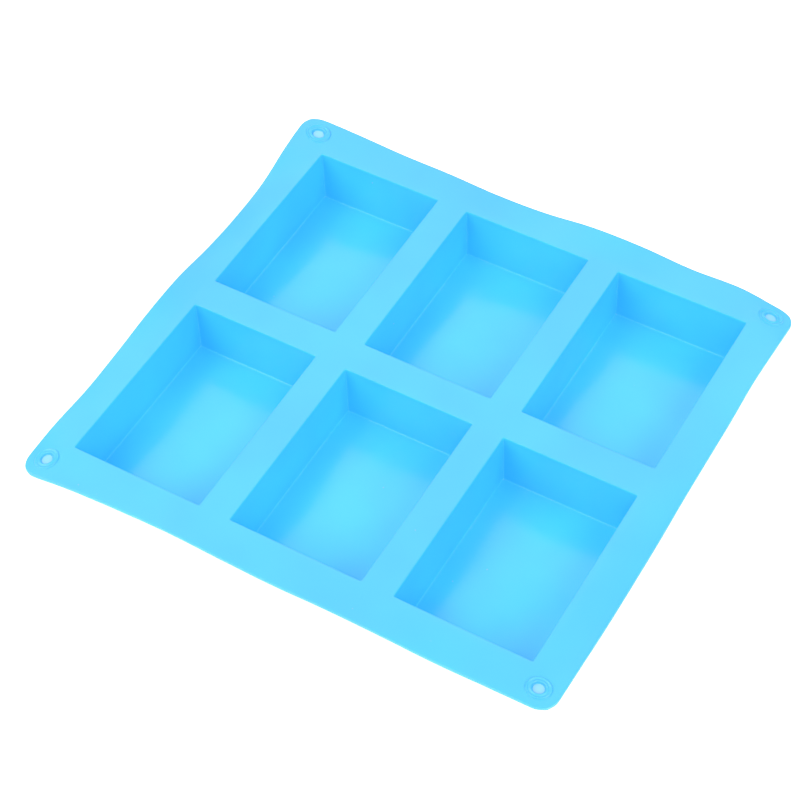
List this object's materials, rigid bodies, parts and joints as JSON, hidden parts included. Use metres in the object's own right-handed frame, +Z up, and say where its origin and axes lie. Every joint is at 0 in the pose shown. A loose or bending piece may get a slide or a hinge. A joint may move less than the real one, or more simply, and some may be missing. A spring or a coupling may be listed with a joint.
{
  "type": "silicone soap mould",
  "caption": "Flexible sheet mould with deep rectangular bar cups in rows, a flat flange that folds along its middle web, floors that push up to free the bars, and a hang hole at each corner.",
  "frame": {"origin": "middle of the plane that the cups stand on", "axes": "+X along the rows, across the columns of cups; +Y from the front row to the back row; +Z up, out of the cavities' mouths"},
  "size_m": [0.214, 0.204, 0.0256],
  "materials": {
    "silicone": "satin, translucent sky blue moulded silicone"
  },
  "bodies": {
    "front_half": {"flange_front": "silicone", "corner_tab_front_left": "silicone", "corner_tab_front_right": "silicone", "cup_walls_front_left": "silicone", "cup_walls_front_middle": "silicone", "cup_walls_front_right": "silicone"},
    "back_half": {"flange_back": "silicone", "corner_tab_back_left": "silicone", "corner_tab_back_right": "silicone", "cup_walls_back_left": "silicone", "cup_walls_back_middle": "silicone", "cup_walls_back_right": "silicone"},
    "front_left_floor": {"cup_floor_front_left": "silicone"},
    "front_middle_floor": {"cup_floor_front_middle": "silicone"},
    "front_right_floor": {"cup_floor_front_right": "silicone"},
    "back_left_floor": {"cup_floor_back_left": "silicone"},
    "back_middle_floor": {"cup_floor_back_middle": "silicone"},
    "back_right_floor": {"cup_floor_back_right": "silicone"}
  },
  "joints": [
    {"name": "middle_web_fold", "type": "hinge", "parent": "front_half", "child": "back_half", "pos_m": [0, 0, 0.0275], "axis": [1, 0, 0], "range_deg": [-20, 170], "stiffness_Nm_per_rad": 0.03},
    {"name": "push_out_front_left", "type": "slide", "parent": "front_half", "child": "front_left_floor", "axis": [0, 0, 1], "range_m": [0, 0.012], "stiffness_N_per_m": 600},
    {"name": "push_out_front_middle", "type": "slide", "parent": "front_half", "child": "front_middle_floor", "axis": [0, 0, 1], "range_m": [0, 0.012], "stiffness_N_per_m": 600},
    {"name": "push_out_front_right", "type": "slide", "parent": "front_half", "child": "front_right_floor", "axis": [0, 0, 1], "range_m": [0, 0.012], "stiffness_N_per_m": 600},
    {"name": "push_out_back_left", "type": "slide", "parent": "back_half", "child": "back_left_floor", "axis": [0, 0, 1], "range_m": [0, 0.012], "stiffness_N_per_m": 600},
    {"name": "push_out_back_middle", "type": "slide", "parent": "back_half", "child": "back_middle_floor", "axis": [0, 0, 1], "range_m": [0, 0.012], "stiffness_N_per_m": 600},
    {"name": "push_out_back_right", "type": "slide", "parent": "back_half", "child": "back_right_floor", "axis": [0, 0, 1], "range_m": [0, 0.012], "stiffness_N_per_m": 600}
  ]
}
